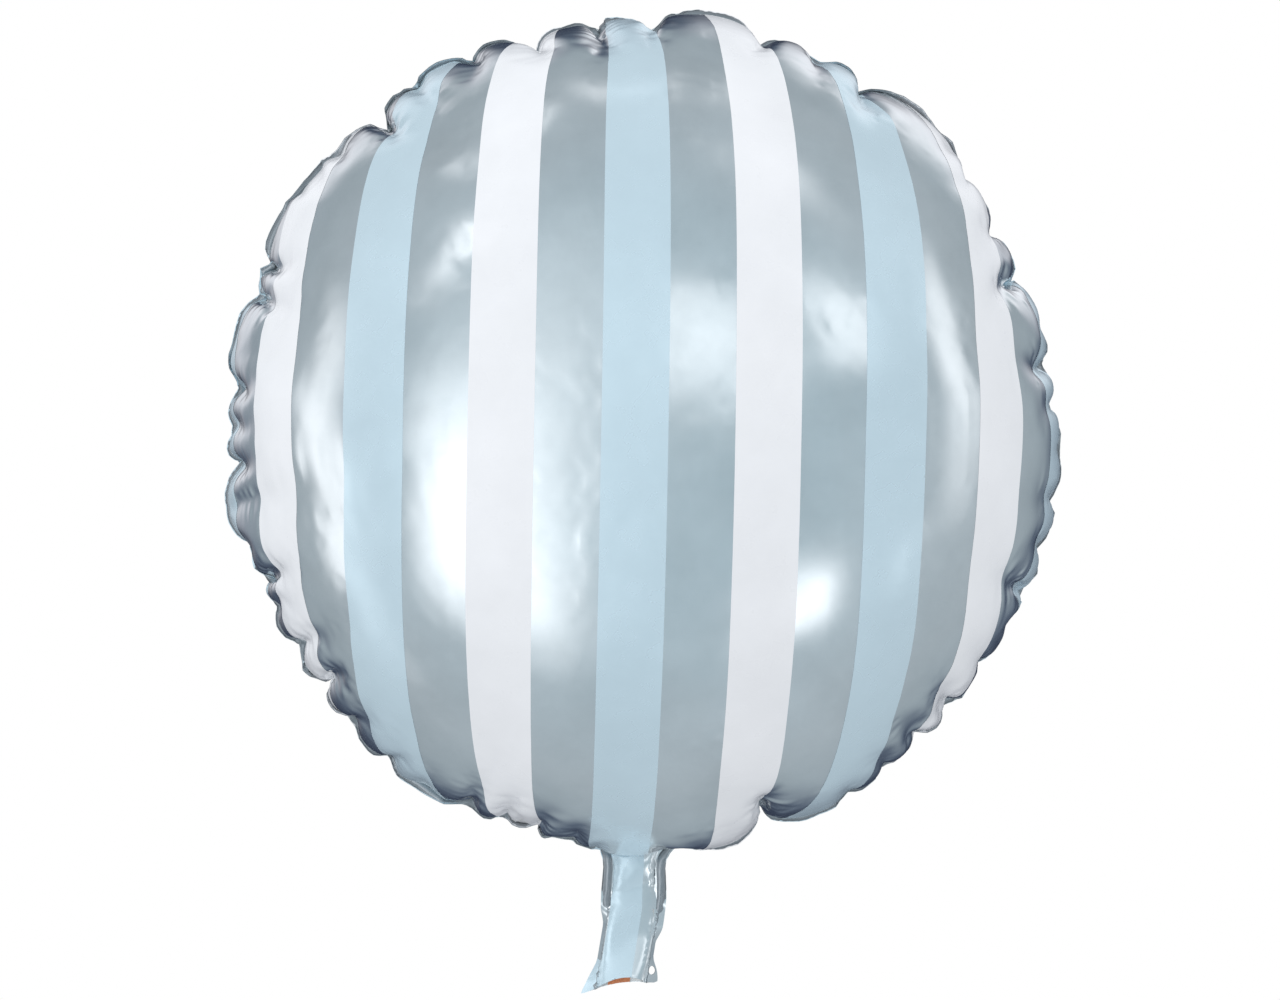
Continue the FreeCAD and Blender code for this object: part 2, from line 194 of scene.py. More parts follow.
class Cut:
    """The flat cut of one balloon: where its outlines run, and where each flat point starts in space."""

    def __init__(self, film, tail, print_):
        self.film, self.tail, self.print = film, tail, print_
        self.weld_radius = EDGE_RADIUS - film.seal  # inflated
        self.flat_radius = self.weld_radius * ARC[-1]  # of the weld circle on the flat film
        self.channel = film.neck / 2 - film.seal
        self.fold = -self.flat_radius - film.neck_length  # the fold line's place on the flat film
        self.join = 3.5 * MM  # how far below the fold line the blown film meets the tail's own mesh
        self.bottom = self.fold - self.join

    def lines(self):
        """Where band edges cross the flat film. The back's print is shifted the other way."""
        count = int(self.flat_radius / self.print.band) + 1
        edges = []
        for shift in (self.print.shift, -self.print.shift):
            for k in range(-count, count + 1):
                across = shift + (k + 0.5) * self.print.band
                if abs(across) < self.flat_radius:
                    edges.append(across)
        return sorted(edges)

    def row(self):
        """Places across the neck where points stand, on the line where blown film and tail meet."""
        half, channel = self.film.neck / 2, self.channel
        fixed = [-half, -half + self.film.seal / 2, -channel, *self.neck_lines(), channel,
                 half - self.film.seal / 2, half]
        places = []
        for low, high in zip(fixed, fixed[1:]):
            count = max(1, round((high - low) / self.tail.cell))
            places += [low + (high - low) * k / count for k in range(count)]
        return places + [half]

    def neck_lines(self):
        return [x for x in self.lines() if abs(x) < self.channel]

    def cell(self, rho):
        """Spacing of points this far from the disc's centre."""
        t = smooth((rho / self.flat_radius - 0.5) / 0.35)
        return self.film.middle_cell + t * (self.film.rim_cell - self.film.middle_cell)

    def loop(self, margin):
        """The outline at this distance outside the weld, anticlockwise from the bottom right."""
        radius, half = self.flat_radius + margin, self.channel + margin
        fillet = self.film.fillet + self.film.seal - margin
        cx = half + fillet
        cy = -math.sqrt((radius + fillet) ** 2 - cx**2)
        beta = math.asin(cx / (radius + fillet))
        step = self.film.rim_cell
        count = max(2, round((cy - self.bottom) / step))
        right = [(half, self.bottom + (cy - self.bottom) * k / count) for k in range(count)]
        bend = math.pi / 2 - beta
        count = max(3, round(fillet * bend / step))
        right += [(cx - fillet * math.cos(bend * k / count), cy + fillet * math.sin(bend * k / count))
                  for k in range(count)]
        first, last = beta - math.pi / 2, 1.5 * math.pi - beta
        crossings = []
        for across in self.lines():
            turn = math.acos(across / radius)
            crossings += [a for a in (turn, 2 * math.pi - turn, -turn) if first + 1e-4 < a < last - 1e-4]
        crossings = sorted(set(round(a, 9) for a in crossings))
        count = round(radius * (last - first) / step)
        steps = [first + (last - first) * k / count for k in range(count + 1)]
        near = 0.45 * step / radius
        kept = np.array(crossings)
        arc = [a for a in steps if np.abs(kept - a).min() > near or a in (steps[0], steps[-1])]
        arc = [(radius * math.cos(a), radius * math.sin(a)) for a in sorted(arc + crossings)]
        left = [(-x, y) for x, y in right[::-1]]
        bottom = [(x, self.bottom) for x in self.row() if abs(x) < half - 1e-7]
        return right + arc + left + bottom

    def inner_points(self):
        """Points inside the weld, on the band edges and in rings, spaced by cell()."""
        lines, found = np.array(self.lines()), []
        for across in self.lines():
            top = math.sqrt(self.flat_radius**2 - across**2)
            low = self.bottom if abs(across) < self.channel else -top
            up = low
            while up < top:
                size = self.cell(math.hypot(across, up))
                up += size
                if top - up > 0.5 * size and up - low > 0.5 * size:
                    found.append((across, up))
        rho, ring = 0.0, 0
        while rho < self.flat_radius - 0.6 * self.film.rim_cell:
            size = self.cell(rho)
            count = max(1, round(2 * math.pi * rho / size))
            for k in range(count):
                turn = 2 * math.pi * (k + 0.5 * (ring % 2)) / count
                x, y = rho * math.cos(turn), rho * math.sin(turn)
                if np.abs(lines - x).min() > 0.42 * size:
                    found.append((x, y))
            ring += 1
            rho += 0.87 * size
        size = self.film.rim_cell * 0.8
        up = -self.flat_radius
        while up > self.bottom + 0.5 * size:
            half = self.channel + max(0.0, (up + self.flat_radius) * 0.2)
            count = round(2 * half / size)
            for k in range(1, count):
                x = -half + 2 * half * (k + 0.5 * (ring % 2) - 0.25) / count
                if np.abs(lines - x).min() > 0.42 * size and abs(x) < half - 0.5 * size:
                    found.append((x, up))
            ring += 1
            up -= 0.87 * size
        return found

    # -- places in space --

    def tail_place(self, across, down, side, shut=0.0):
        """Where a point of the limp tail hangs. side is -1 in front and 1 behind, down is below the fold,
        and shut is the share by which a ply stands off the film, towards the middle."""
        tail, film = self.tail, self.film
        across, down = np.asarray(across, float), np.asarray(down, float)
        shut_length = 4 * MM  # below the fold, before the tail starts to open
        t = smooth((down - shut_length) / (tail.length - shut_length))
        height = (tail.pinch + (tail.gape - tail.pinch) * t) * (1 - shut)
        share = np.clip(np.abs(across) / self.channel, 0, 1)
        y = side * height * np.sqrt(np.clip(1 - share**3, 0, 1))
        over = np.clip(np.abs(across) - self.channel, 0, None)  # out on the seal
        turn = margin_turn(across, down)
        x = np.sign(across) * (np.minimum(np.abs(across), self.channel) + over * np.cos(turn))
        y = y + over * np.sin(turn)
        wave, pitch = 0.9 * MM, 9 * MM  # of the slow waves down the limp film
        y = y + wave * np.sin(across / film.neck * 5.0 + down / pitch) * rise(down, 0, 14)
        lead, bend = 4 * MM, 10 * MM  # where above the fold, and over what length, the tail turns
        t = np.clip((down + lead) / bend, 0, 1)
        run = bend * (t**3 - t**4 / 2) + np.maximum(down - bend + lead, 0)
        angle = tail.lean * smooth(t)
        return np.stack([
            x * np.cos(angle) - np.sin(tail.lean) * run,
            y,
            -down + (1 - np.cos(tail.lean)) * run - x * np.sin(angle),
        ], axis=-1)

    def start_place(self, points, side, gathered=True):
        """Where a flat point starts before it is blown up: the ideal lobe with gathers round its rim."""
        u, v = points[:, 0], points[:, 1]
        rho, turn = np.hypot(u, v), np.arctan2(v, u)
        arc = rho / self.weld_radius
        radius = np.interp(arc, ARC, WIDTH) * self.weld_radius
        thick = np.interp(arc, ARC, HEIGHT) * self.weld_radius
        over = np.maximum(rho - self.flat_radius, 0)
        neck = (v < 0) * (1 - rise(np.abs(u), 12, 14))
        drop = CENTRE_HEIGHT - self.weld_radius
        squeeze = 1 + neck * (drop / self.film.neck_length - 1)
        radius = radius + over * squeeze
        gather, zigzag = self.gathers(turn)
        near = smooth((rho / self.flat_radius - 0.6) / 0.4) ** 2 * (1 - neck) * gathered
        radius = radius + gather * near
        down = self.fold - v
        blend = neck * rise(rho - self.flat_radius, -14, 20)
        x = radius * np.cos(turn) * (1 - blend) + u * blend
        z = CENTRE_HEIGHT + radius * np.sin(turn)
        along = np.clip(-down / self.film.neck_length, 0, 1)
        share = np.clip(np.abs(u) / self.channel, 0, 1)
        belly = 3 * MM  # that the neck's film bulges by, halfway up
        swell = (self.tail.pinch + belly * np.sin(math.pi * along)) * np.sqrt(1 - share**3)
        y = np.where(rho < self.flat_radius, side * thick, side * swell * neck) + zigzag * near
        place = np.stack([x, y, z], axis=-1)
        held = self.held(points)
        place[held] = self.tail_place(u[held], down[held], side)
        return place

    def held(self, points):
        """Which points lie below the U-shaped crease where the gas ends, and so stay flat."""
        dip, height = 2.6 * MM, 8.5 * MM  # of the crease's middle below the fold, and of its U
        crease = self.fold - dip + height * np.minimum(np.abs(points[:, 0]) / self.channel, 1.25) ** 2
        return points[:, 1] < np.minimum(crease, self.fold + 9 * MM)

    def gathers(self, turn):
        """Radial wave and side-to-side zigzag of the rim at each angle, with uneven widths."""
        draw = random.Random(self.film.seed)
        count = self.film.puckers
        widths = []
        for k in range(count):
            middle = -math.pi + 2 * math.pi * (k + 0.5) / count
            wide = 1.0
            for extra, place in ((0.6, 1.9), (0.4, 0.95)):  # wider gathers at the top left and the top right
                wide += extra * math.exp(-((middle - place) / 0.3) ** 2)
            widths.append(wide * draw.uniform(0.75, 1.25))
        ends = np.concatenate([[0], np.cumsum(widths)]) / sum(widths) * 2 * math.pi - math.pi
        height = np.array([draw.uniform(0.8, 1.2) for _ in range(count)])
        tilt = np.array([draw.choice((-1, 1)) * draw.uniform(0.3, 1) for _ in range(count + 1)])
        k = np.clip(np.searchsorted(ends, turn, side="right") - 1, 0, count - 1)
        t = (turn - ends[k]) / (ends[k + 1] - ends[k])
        width = (ends[k + 1] - ends[k]) * self.weld_radius
        wave = (np.sin(math.pi * np.clip(t, 0, 1)) ** 0.8 - 0.6) * width * 0.42 * height[k]
        sway = 3 * MM  # of the rim to the front and back
        return wave, (tilt[k] * (1 - t) + tilt[k + 1] * t) * sway


# ---- Flat meshes --------------------------------------------------------------------------------


def triangulate(loops, lines, points, hollow=()):
    """Triangles inside loops[0] and outside the hollow loops, with every loop and line as edges.

    Gives the points, the triangles, and which of the triangles lie inside loops[1].
    """
    coords, faces, edges = [], [], []
    for loop in loops:
        faces.append(list(range(len(coords), len(coords) + len(loop))))
        coords += [Vector(p) for p in loop]
    for line in lines:
        first = len(coords)
        coords += [Vector(p) for p in line]
        edges += [(k, k + 1) for k in range(first, len(coords) - 1)]
    coords += [Vector(p) for p in points]
    verts, _, tris, _, _, origin = delaunay_2d_cdt(coords, edges, faces, 1, 1e-6)
    flat = np.array([tuple(v) for v in verts])
    kept, inside = [], []
    for tri, held in zip(tris, origin):
        if len(tri) == 3 and 0 in held and not any(h in held for h in hollow):
            a, b, c = (flat[i] for i in tri)
            turns = (b[0] - a[0]) * (c[1] - a[1]) - (b[1] - a[1]) * (c[0] - a[0])
            kept.append(tuple(tri) if turns > 0 else tuple(tri[::-1]))
            inside.append(1 in held)
    return flat, np.array(kept), np.array(inside)


def film_cut(cut):
    """Flat points and triangles of disc and neck, and which triangles are inside the weld."""
    outer, weld = cut.loop(cut.film.seal), cut.loop(0.0)
    inner = cut.inner_points()
    lines = []
    for across in cut.lines():
        ups = [p[1] for loop in (outer, weld) for p in loop if abs(p[0] - across) < 1e-7]
        ups += [p[1] for p in inner if abs(p[0] - across) < 1e-7]
        if len(ups) > 1:
            lines.append([(across, up) for up in sorted(set(round(u, 9) for u in ups))])
    spare = [p for p in inner if not any(abs(p[0] - a) < 1e-7 for a in cut.lines())]
    spare = clear_of(spare, weld, 0.55 * cut.film.rim_cell)
    return triangulate([outer, weld], lines, spare)


def clear_of(points, loop, gap):
    """The points that keep this far from a loop's points."""
    loop, points = np.array(loop), np.array(points)
    kept = []
    for chunk in np.array_split(points, max(1, len(points) // 500)):
        distance = np.hypot(chunk[:, None, 0] - loop[None, :, 0], chunk[:, None, 1] - loop[None, :, 1])
        kept.append(chunk[distance.min(axis=1) > gap])
    return [tuple(p) for p in np.concatenate(kept)]


def tail_half(cut, down, side):
    """Half-width of the tail this far below the fold, on the left (-1) or the right (1)."""
    tail = cut.tail
    tip = tail.length - side * tail.slant / 2
    flare = np.clip((down - tip + tail.ear_height) / tail.ear_height, 0, 1)
    return cut.film.neck / 2 + tail.ear * flare**1.4


def mouth(cut, across, lifted):
    """How far below the fold the mouth's edge is."""
    tail = cut.tail
    t = across / (cut.film.neck / 2 + tail.ear)
    lift = tail.lift * max(0.0, 1 - (across / (cut.channel + 1.5 * MM)) ** 2) if lifted else 0.0
    return tail.length - t * tail.slant / 2 - tail.arch * (1 - t * t) - lift


def tail_cut(cut, lifted):
    """Flat triangles of one ply of the tail. Its second coordinate is the distance below the fold."""
    tail, film = cut.tail, cut.film
    tips = [tail.length - side * tail.slant / 2 for side in (-1, 1)]
    round_off = 2.4 * MM  # of the two corners
    outline = [(x, cut.join) for x in cut.row()]
    for side, tip in ((1, tips[1]), (-1, tips[0])):
        count = round((tip - round_off - cut.join) / tail.cell)
        downs = [cut.join + (tip - round_off - cut.join) * k / count for k in range(1, count + 1)]
        edge = [(side * float(tail_half(cut, d, side)), d) for d in downs]
        if side > 0:
            outline += edge
            reach = film.neck / 2 + tail.ear
            inner = reach - round_off
            outline += [(reach - 0.25 * round_off, mouth(cut, reach, lifted) - 0.3 * round_off)]
            count = round(2 * inner / tail.cell)
            outline += [(inner - 2 * inner * k / count, mouth(cut, inner - 2 * inner * k / count, lifted))
                        for k in range(count + 1)]
            outline += [(-reach + 0.25 * round_off, mouth(cut, -reach, lifted) - 0.3 * round_off)]
        else:
            outline += edge[::-1]
    around = 28  # points round the hole
    hole = [(tail.hole_offset + tail.hole * math.cos(2 * math.pi * k / around),
             tail.hole_drop + tail.hole * math.sin(2 * math.pi * k / around)) for k in range(around)]
    lines = []
    creases = (*cut.neck_lines(), -cut.channel, cut.channel)
    for across in creases:
        end = mouth(cut, across, lifted)
        count = round((end - cut.join) / tail.cell)
        lines.append([(across, cut.join + (end - cut.join) * k / count) for k in range(count + 1)])
    points, row = [], 0
    down = cut.join + 0.87 * tail.cell
    while down < max(tips):
        left, right = -float(tail_half(cut, down, -1)), float(tail_half(cut, down, 1))
        count = round((right - left) / tail.cell)
        for k in range(1, count):
            x = left + (right - left) * (k + 0.5 * (row % 2) - 0.25) / count
            near_line = min(abs(x - a) for a in creases)
            near_hole = math.hypot(x - tail.hole_offset, down - tail.hole_drop) - tail.hole
            inside = left + 0.5 * tail.cell < x < right - 0.5 * tail.cell
            if inside and near_line > 0.4 * tail.cell and near_hole > 0.5 * tail.cell:
                if down < mouth(cut, x, lifted) - 0.5 * tail.cell:
                    points.append((x, down))
        row += 1
        down += 0.87 * tail.cell
    flat, tris, _ = triangulate([outline, hole], lines, points, hollow=(1,))
    return flat, tris[:, ::-1]  # down runs the other way than up


# ---- Blowing up ---------------------------------------------------------------------------------


def new_object(name, points, tris):
    mesh = bpy.data.meshes.new(name)
    mesh.from_pydata([tuple(map(float, p)) for p in points], [], [tuple(map(int, t)) for t in tris])
    mesh.update()
    made = bpy.data.objects.new(name, mesh)
    bpy.context.scene.collection.objects.link(made)
    return made


def blow_up(cut, flat, tris, gas):
    """Both films in space, as (front places, back places), from the flat cut."""
    inner = np.zeros(len(flat), bool)
    inner[tris[gas].ravel()] = True
    sealed = np.zeros(len(flat), bool)
    sealed[tris[~gas].ravel()] = True
    twin = np.arange(len(flat))
    loose = inner & ~sealed
    twin[loose] = len(flat) + np.arange(loose.sum())
    start = np.concatenate([cut.start_place(flat, -1), cut.start_place(flat[loose], 1)])
    edge = sealed & ~loose
    start[: len(flat)][edge, 1] = (start[: len(flat)][edge, 1] + cut.start_place(flat[edge], 1)[:, 1]) / 2
    both = np.concatenate([flat, flat[loose]])
    rest = np.stack([both[:, 0], np.zeros(len(both)), both[:, 1] - cut.fold], axis=-1)
    held = cut.held(both)
    rest[held] = start[held]
    faces = np.concatenate([tris, twin[tris[gas]][:, ::-1]])
    bag = new_object("bag", start, faces)
    inflate(bag, rest, held, gas_share(len(start), faces, gas, tris))
    blown = places(bag.data).astype(float)
    bpy.data.objects.remove(bag)
    return blown[: len(flat)], blown[twin]


def gas_share(count, faces, gas, tris):
    """1 at points that the gas presses on."""
    share = np.zeros(count)
    share[tris[gas].ravel()] = 1
    share[faces[len(tris):].ravel()] = 1
    return share


def inflate(bag, rest, held, pressed):
    """Runs the cloth: the film takes its flat size back within a few frames while gas presses on it."""
    frames, ramp = 10, 5  # in all, and until the film has its flat size
    bag.shape_key_add(name="Basis")
    flat = bag.shape_key_add(name="flat_size")
    flat.data.foreach_set("co", rest.astype(np.float32).ravel())
    flat.value = 0
    flat.keyframe_insert("value", frame=1)
    flat.value = 1
    flat.keyframe_insert("value", frame=ramp)
    for curve in bag.data.shape_keys.animation_data.action.fcurves:
        for key in curve.keyframe_points:
            key.interpolation = "LINEAR"
    for name, weights in (("held", held), ("gas", pressed)):
        group = bag.vertex_groups.new(name=name)
        group.add([int(i) for i in np.flatnonzero(weights)], 1.0, "REPLACE")
    cloth = bag.modifiers.new("Cloth", "CLOTH")
    cloth.point_cache.frame_start, cloth.point_cache.frame_end = 1, frames
    film = cloth.settings
    film.use_dynamic_mesh = True
    film.quality = 5
    film.mass = 0.0005
    film.tension_stiffness = film.compression_stiffness = 60
    film.shear_stiffness = 30
    film.bending_stiffness = 0.0005
    film.tension_damping = film.compression_damping = film.shear_damping = 0.5
    film.bending_damping = 0.5
    film.air_damping = 1
    film.use_pressure = True
    film.uniform_pressure_force = 800
    film.vertex_group_pressure = "gas"
    film.vertex_group_mass = "held"
    film.pin_stiffness = 50
    film.effector_weights.gravity = 0
    cloth.collision_settings.use_collision = False
    cloth.collision_settings.use_self_collision = False
    scene = bpy.context.scene
    for number in range(1, frames + 1):
        scene.frame_set(number)
    result = bag.evaluated_get(bpy.context.evaluated_depsgraph_get())
    blown = places(result.to_mesh())
    result.to_mesh_clear()
    bag.modifiers.remove(cloth)
    bag.shape_key_clear()
    move(bag.data, blown)
    scene.frame_set(1)


# ---- Small tools --------------------------------------------------------------------------------


def only(obj):
    """Makes obj the one selected and active object."""
    if bpy.context.object and bpy.context.object.mode != "OBJECT":
        bpy.ops.object.mode_set(mode="OBJECT")
    for other in bpy.context.view_layer.objects:
        other.select_set(False)
    obj.hide_set(False)
    obj.select_set(True)
    bpy.context.view_layer.objects.active = obj


def edit(obj):
    only(obj)
    bpy.ops.object.mode_set(mode="EDIT")


def done():
    bpy.ops.object.mode_set(mode="OBJECT")


def gather(items, key, wide=1, kind=np.float32):
    """One value of every item, in rows where it has more than one number."""
    found = np.empty(len(items) * wide, kind)
    items.foreach_get(key, found)
    return found.reshape(-1, wide) if wide > 1 else found


def read(mesh, name):
    """A float attribute at every point."""
    return gather(mesh.attributes[name].data, "value")


def write(mesh, name, values):
    layer = mesh.attributes.new(name, "FLOAT", "POINT")
    layer.data.foreach_set("value", np.asarray(values, np.float32))


def pick_faces(obj, test):
    """Selects the faces whose mean 'across' and 'up' pass the test."""
    mesh = obj.data
    across, up = read(mesh, "across"), read(mesh, "up")
    corners = gather(mesh.loops, "vertex_index", kind=np.int32)
    counts = gather(mesh.polygons, "loop_total", kind=np.int32)
    starts = np.concatenate([[0], np.cumsum(counts)[:-1]])
    mean_across = np.add.reduceat(across[corners], starts) / counts
    mean_up = np.add.reduceat(up[corners], starts) / counts
    chosen = test(mean_across, mean_up)
    mesh.polygons.foreach_set("select", chosen)
    mesh.vertices.foreach_set("select", np.zeros(len(mesh.vertices), bool))
    mesh.edges.foreach_set("select", np.zeros(len(mesh.edges), bool))
    return int(chosen.sum())


def normals(mesh):
    return gather(mesh.vertex_normals, "vector", 3)


def places(mesh):
    return gather(mesh.vertices, "co", 3)


def move(mesh, new):
    mesh.vertices.foreach_set("co", np.asarray(new, np.float32).ravel())
    mesh.update()


def shade_smooth(mesh):
    mesh.polygons.foreach_set("use_smooth", np.ones(len(mesh.polygons), bool))
    mesh.update()


def current_cut():
    scene = bpy.context.scene
    return Cut(scene.balloon_film, scene.balloon_tail, scene.balloon_print)


# ---- Materials ----------------------------------------------------------------------------------


class Nodes:
    """A node tree, with a short way to add to it."""

    def node(self, kind, inputs=None, **settings):
        made = self.tree.nodes.new(kind)
        for key, value in settings.items():
            setattr(made, key, value)
        for key, value in (inputs or {}).items():
            if isinstance(value, bpy.types.NodeSocket):
                self.tree.links.new(value, made.inputs[key])
            else:
                made.inputs[key].default_value = value
        return made


class Finish(Nodes):
    """A material under construction: one Principled shader and the nodes that feed it."""

    def __init__(self, name):
        self.material = bpy.data.materials.get(name) or bpy.data.materials.new(name)
        self.material.use_nodes = True
        self.tree = self.material.node_tree
        self.shader = self.tree.nodes["Principled BSDF"]

    def set(self, **values):
        for name, value in values.items():
            self.shader.inputs[name.replace("_", " ")].default_value = value

    def link(self, output, name):
        self.tree.links.new(output, self.shader.inputs[name])

    def noise(self, scale, detail=3.0, rough=0.5):
        place = self.node("ShaderNodeTexCoord").outputs["Object"]
        inputs = {"Vector": place, "Scale": scale, "Detail": detail, "Roughness": rough}
        return self.node("ShaderNodeTexNoise", inputs).outputs["Fac"]

    def span(self, value, low, high):
        """Spreads a noise, which is mostly between 0.3 and 0.7, from low to high."""
        inputs = {"Value": value, "From Min": 0.3, "From Max": 0.7, "To Min": low, "To Max": high}
        return self.node("ShaderNodeMapRange", inputs).outputs["Result"]

    def bump(self, height, distance):
        inputs = {"Height": height, "Distance": distance, "Strength": 1.0}
        self.link(self.node("ShaderNodeBump", inputs).outputs["Normal"], "Normal")

    def tint(self, value, first, second):
        mixed = self.node("ShaderNodeMix", data_type="RGBA")
        self.tree.links.new(value, mixed.inputs[0])
        mixed.inputs[6].default_value = (*first, 1)
        mixed.inputs[7].default_value = (*second, 1)
        self.link(mixed.outputs[2], "Base Color")


def shade(colour, factor):
    return tuple(min(1.0, c * factor) for c in colour)


def finish(name, haze, colours, grain, rough, relief, height, **sockets):
    """A material: a haze between two colours, grain in its roughness and relief in its bump.

    haze, grain and relief are settings of a noise, rough is the two ends of the roughness, and the
    other sockets have one value all over.
    """
    made = Finish(name)
    made.set(**sockets)
    made.tint(made.span(made.noise(*haze), 0, 1), *colours)
    made.link(made.span(made.noise(*grain), *rough), "Roughness")
    made.bump(made.noise(*relief), height)
    return made.material


FILM_RELIEF = (30.0, 1.0)  # scale and detail of the noise that keeps the film from being quite even
FILM_RELIEF_HEIGHT = 0.05 * MM


def silver_finish():
    colour = bpy.context.scene.balloon_print.silver
    colours = shade(colour, 0.93), shade(colour, 1.06)
    return finish(
        "silver_film", (26.0, 5.0, 0.6), colours, (60.0,), (0.15, 0.2),
        FILM_RELIEF, FILM_RELIEF_HEIGHT, Metallic=1.0,
    )


def ink_finish(name, colour, metal, rough, coat):
    return finish(
        name, (30.0, 5.0, 0.6), (shade(colour, 0.97), shade(colour, 1.03)),
        (110.0,), (rough * 0.85, rough * 1.15), FILM_RELIEF, FILM_RELIEF_HEIGHT,
        Metallic=metal, Coat_Weight=coat, Coat_Roughness=0.1,
    )


def white_finish():
    return ink_finish("white_ink", bpy.context.scene.balloon_print.white, 0.0, 0.3, 0.45)


def blue_finish():
    return ink_finish("blue_ink", bpy.context.scene.balloon_print.blue, 0.35, 0.26, 0.3)


def orange_finish():
    colour = bpy.context.scene.balloon_print.orange
    colours = shade(colour, 0.8), shade(colour, 1.25)
    return finish(
        "orange_ink", (400.0, 4.0, 0.7), colours, (300.0,), (0.45, 0.65), (900.0, 2.0), 0.02 * MM
    )


# The fused layer is a real part of the balloon. Its dark grey is a painted dark reflection: it draws the
# dark line along the rim's edge, where the film mirrors the dark room behind.
def weld_painted_dark_reflection_finish():
    colours = (0.3, 0.32, 0.34), (0.42, 0.44, 0.46)
    return finish(
        "fused_film_painted_dark_reflection", (60.0,), colours, (240.0,), (0.25, 0.4), (1400.0, 2.0), 0.02 * MM, Metallic=0.9
    )


def valve_finish():
    colours = (0.66, 0.68, 0.67), (0.76, 0.77, 0.76)
    return finish(
        "valve_film", (50.0,), colours, (200.0,), (0.25, 0.4), (500.0, 2.0), 0.03 * MM,
        Transmission_Weight=0.3, IOR=1.5,
    )


def wear(obj, material):
    obj.data.materials.clear()
    obj.data.materials.append(material)


# ---- Operators ----------------------------------------------------------------------------------


class BALLOON_OT_films(Operator):
    """Cuts both films, welds and blows them up, and hangs their flat tails below"""

    bl_idname = "balloon.films"
    bl_label = "Blow up the films"

    def execute(self, context):
        cut = current_cut()
        flat, tris, gas = film_cut(cut)
        front, back = blow_up(cut, flat, tris, gas)
        for side, name, blown in ((-1, "film_front", front), (1, "film_back", back)):
            blown = calm(cut, flat, tris, blown, side)
            tail_flat, tail_tris = tail_cut(cut, lifted=side < 0)
            hung = cut.tail_place(tail_flat[:, 0], tail_flat[:, 1], side)
            points = np.concatenate([blown, hung])
            faces = np.concatenate([tris, tail_tris + len(flat)])
            film = new_object(name, points, faces if side < 0 else faces[:, ::-1])
            write(film.data, "across", np.concatenate([flat[:, 0], tail_flat[:, 0]]))
            write(film.data, "up", np.concatenate([flat[:, 1] - cut.fold, -tail_flat[:, 1]]))
            edit(film)
            bpy.ops.mesh.select_all(action="SELECT")
            bpy.ops.mesh.remove_doubles(threshold=0.02 * MM)
            bpy.ops.mesh.subdivide(number_cuts=1, smoothness=0.9)
            done()
            part_flanges(cut, film)
            shade_smooth(film.data)
            wear(film, silver_finish())
        return {"FINISHED"}


def outside_weld(cut, across, up):
    """How far a flat point lies outside the weld, 0 on it and inside."""
    v = up + cut.fold
    rho = np.hypot(across, v)
    fillet = cut.film.fillet + cut.film.seal
    cx = cut.channel + fillet
    cy = -math.sqrt((cut.flat_radius + fillet) ** 2 - cx**2)
    disc = rho - cut.flat_radius
    bend = fillet - np.hypot(np.abs(across) - cx, v - cy)
    neck = np.abs(across) - cut.channel
    beta = math.asin(cx / (cut.flat_radius + fillet))
    corner = (np.abs(across) < cx) & (v > cy) & (np.arctan2(np.abs(across), -v) < beta)
    low = (v <= cy) & (np.abs(across) < cx)
    return np.maximum(np.where(low, neck, np.where(corner & (v < 0), bend, disc)), 0)


def calm(cut, flat, tris, blown, side):
    """Evens out how the blown film differs from the ideal lobe, most in its middle.

    The bands keep their straight edges, because the ideal lobe is left as it is. The neck's film is
    kept clear of the valve between its walls.
    """
    rounds, least_ease = 24, 0.06
    plain = cut.start_place(flat, side, gathered=False)
    away = blown - plain
    rho = np.hypot(flat[:, 0], flat[:, 1]) / cut.flat_radius
    free = ~cut.held(flat)
    links = np.concatenate([tris[:, (0, 1)], tris[:, (1, 2)], tris[:, (2, 0)]])
    links = np.unique(np.sort(links, axis=1), axis=0)
    count = np.bincount(links.ravel(), minlength=len(flat))
    ease = np.where(rho < 1, 1 - 0.92 * smooth((rho - 0.62) / 0.3), least_ease) * free
    for _ in range(rounds):
        total = np.zeros_like(away)
        for k in range(3):
            total[:, k] = np.bincount(links[:, 0], away[links[:, 1], k], len(flat))
            total[:, k] += np.bincount(links[:, 1], away[links[:, 0], k], len(flat))
        away += (total / count[:, None] - away) * 0.5 * ease[:, None]
    settled = plain + away
    gas = free & (np.abs(flat[:, 0]) < cut.channel) & (flat[:, 1] < cut.fold + 40 * MM)
    share = np.abs(flat[:, 0]) / cut.channel
    least = cut.tail.pinch * np.sqrt(np.clip(1 - share**3, 0, 1))
    settled[:, 1] = np.where(gas, side * np.maximum(side * settled[:, 1], least), settled[:, 1])
    return settled


FLANGE_GAP = 0.14 * MM  # from the middle of the weld to each film's margin


def part_flanges(cut, film):
    """Sets the two films' sealed margins a hair apart, each on its own side of the weld."""
    mesh = film.data
    over = outside_weld(cut, read(mesh, "across"), read(mesh, "up"))
    apart = FLANGE_GAP * smooth(over / (1.2 * MM))
    move(mesh, places(mesh) + normals(mesh) * apart[:, None])


PRINT_TOP, PRINT_BOTTOM = 9 * MM, -24 * MM  # the seals are unprinted between these, up from the fold


def band_test(cut, side, colour):
    """Says which faces a colour of ink covers. Bands are counted from the middle blue one."""
    shift = cut.print.shift if side < 0 else -cut.print.shift

    def test(across, up):
        number = np.floor((across - shift) / cut.print.band + 0.5).astype(int)
        beside = (up < PRINT_TOP) & (up > PRINT_BOTTOM)
        bare = beside & (np.abs(across) > cut.channel)  # the neck's and tail's seals
        return (number % 4 == (0 if colour == "blue" else 2)) & ~bare

    return test


